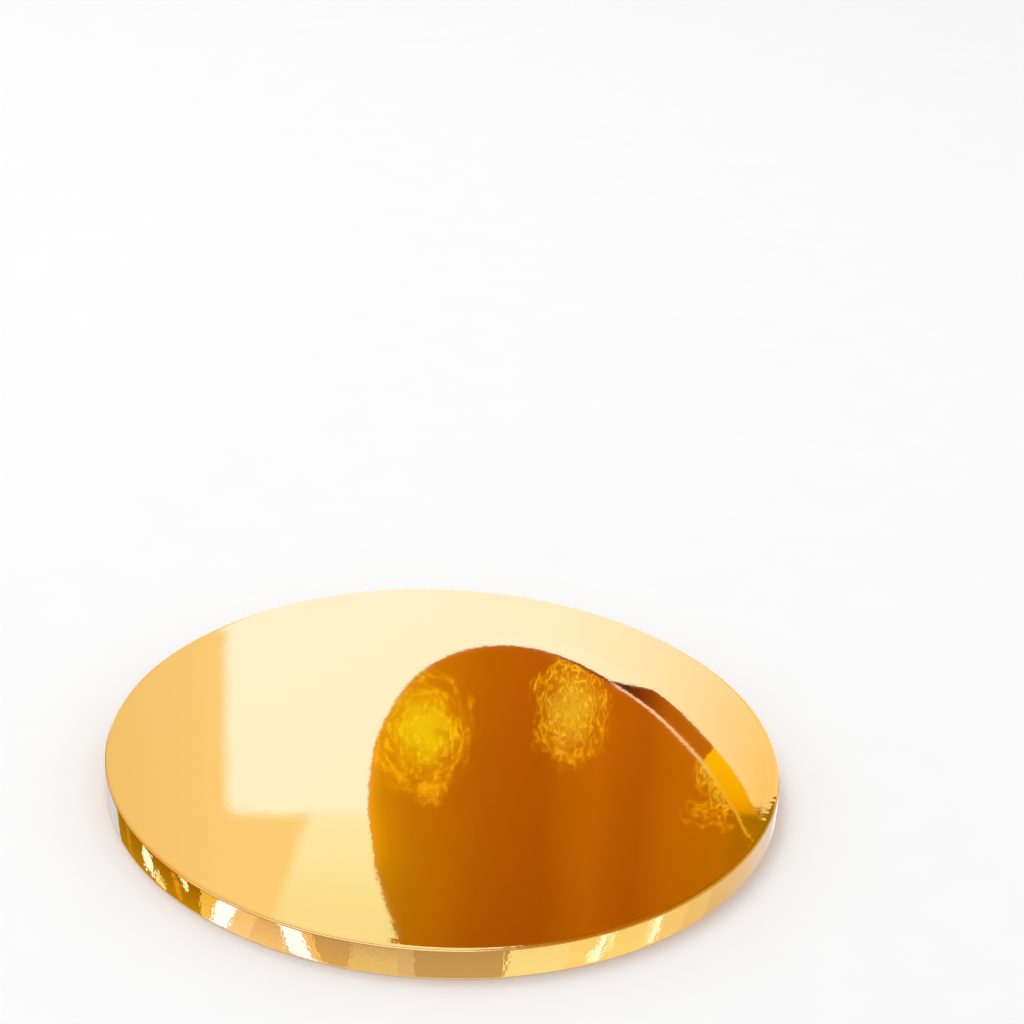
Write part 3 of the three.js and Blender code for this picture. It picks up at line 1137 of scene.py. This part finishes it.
def walls():
    turn = (WALLS_END - WALLS_START) / len(WALLS)
    for index, own in enumerate(WALLS):
        colours = own[:BELOW_BAND] + (NIGHT, NIGHT) + own[BELOW_BAND:]
        name = f"wall_{index}"
        start = WALLS_START + turn * index
        end = start + turn
        material = graded_material(name, "Z", tuple(zip(WALL_HEIGHTS, colours)), glow=linear)
        curved_card(name, (start, start), (end, end), SURROUND_HIGH, WALL_TOP, material)


def level_square(name, half, height, material):
    corners = [(-half, -half, height), (half, -half, height), (half, half, height), (-half, half, height)]
    return new_object(name, corners, [(0, 1, 2, 3)], material)


# The ceiling is pale up to a line and amber past it
CEILING_HEIGHT = 1.9
CEILING_HALF = 1.7
CEILING_TONES = (
    (-CEILING_HALF, (255, 236, 186)),
    (0.27, (255, 242, 200)),
    (0.33, (190, 100, 2)),
    (CEILING_HALF, (160, 80, 2)),
)


def ceiling():
    material = graded_material("ceiling", "X", CEILING_TONES)
    seen_in_foil_only(level_square("ceiling", CEILING_HALF, CEILING_HEIGHT, material))


FLOOR_HALF = 6.0
FLOOR_GRAIN = 40.0
FLOOR_TONES = ((248, 248, 248), (251, 251, 251))
FLOOR_ROUGHNESS = 0.9


def floor():
    """A plain white floor that takes the board's shadow. The foil mirrors the cards in its place."""
    material, nodes, output = new_material("floor_white")
    grain = nodes.noise(nodes.place(), FLOOR_GRAIN, detail=2.0)
    darker, lighter = FLOOR_TONES
    nodes.surface(output, {
        "Base Color": nodes.ramp(grain, [(0.0, linear(darker)), (1.0, linear(lighter))]),
        "Roughness": FLOOR_ROUGHNESS, "Specular IOR Level": 0.0})
    ground = level_square("floor", FLOOR_HALF, 0, material)
    ground.visible_glossy = False


WORLD_LIGHT = 0.78
BACKGROUND_LIGHT = 1.0


def world():
    """An even white studio: a soft fill for matt surfaces, full white for the view and the foil."""
    scene_world = bpy.data.worlds.new("studio")
    bpy.context.scene.world = scene_world
    scene_world.use_nodes = True
    scene_world.node_tree.nodes.clear()
    nodes = Nodes(scene_world.node_tree)
    path = nodes.add("ShaderNodeLightPath")
    seen = nodes.math("MAXIMUM", path.outputs["Is Camera Ray"], path.outputs["Is Glossy Ray"])
    seen = nodes.math("MAXIMUM", seen, path.outputs["Is Transmission Ray"])
    strength = nodes.spread(seen, 0.0, 1.0, WORLD_LIGHT, BACKGROUND_LIGHT)
    light = nodes.add("ShaderNodeBackground", {"Color": (1, 1, 1, 1), "Strength": strength})
    output = nodes.add("ShaderNodeOutputWorld")
    nodes.tree.links.new(light.outputs[0], output.inputs["Surface"])


SOFTBOX_PLACE = Vector((-0.7, 0.6, 2.8))
SOFTBOX_SIZE = 1.6
SOFTBOX_POWER = 23.0


def softbox():
    """One large softbox overhead, a little to the left and behind, aimed at the board."""
    light = bpy.data.lights.new("overhead_softbox", "AREA")
    light.shape = "SQUARE"
    light.size = SOFTBOX_SIZE
    light.energy = SOFTBOX_POWER
    lamp = bpy.data.objects.new("overhead_softbox", light)
    lamp.location = SOFTBOX_PLACE
    lamp.visible_glossy = False
    lamp.rotation_euler = (-SOFTBOX_PLACE).to_track_quat("-Z", "Y").to_euler()
    bpy.context.scene.collection.objects.link(lamp)


def camera():
    """The photograph's camera: its height and turn, its long lens and its slight roll."""
    data = bpy.data.cameras.new("camera")
    data.sensor_width = SENSOR_WIDTH
    data.lens = FOCAL_PIXELS / FRAME_PIXELS * SENSOR_WIDTH
    data.clip_start = CLIP_NEAR
    data.clip_end = CLIP_FAR
    view = bpy.data.objects.new("camera", data)
    view.location = camera_place()
    tilt = Euler((math.pi / 2 - CAMERA_ELEVATION, 0, 0)).to_matrix()
    roll = Euler((0, 0, CAMERA_ROLL)).to_matrix()
    view.rotation_euler = (tilt @ roll).to_euler()
    bpy.context.scene.collection.objects.link(view)
    bpy.context.scene.camera = view


def build():
    """The studio, of which the cards are seen only in the foil, and then the board's pieces."""
    bpy.context.scene.view_settings.view_transform = "Standard"
    camera()
    world()
    softbox()
    floor()
    back_wall()
    round_panel()
    surround_cards()
    walls()
    ceiling()
    edge_strip(strip_foil_material())
    face_foil(face_foil_material())
    base_paper(white_paper_material())
    dress_core()


build()
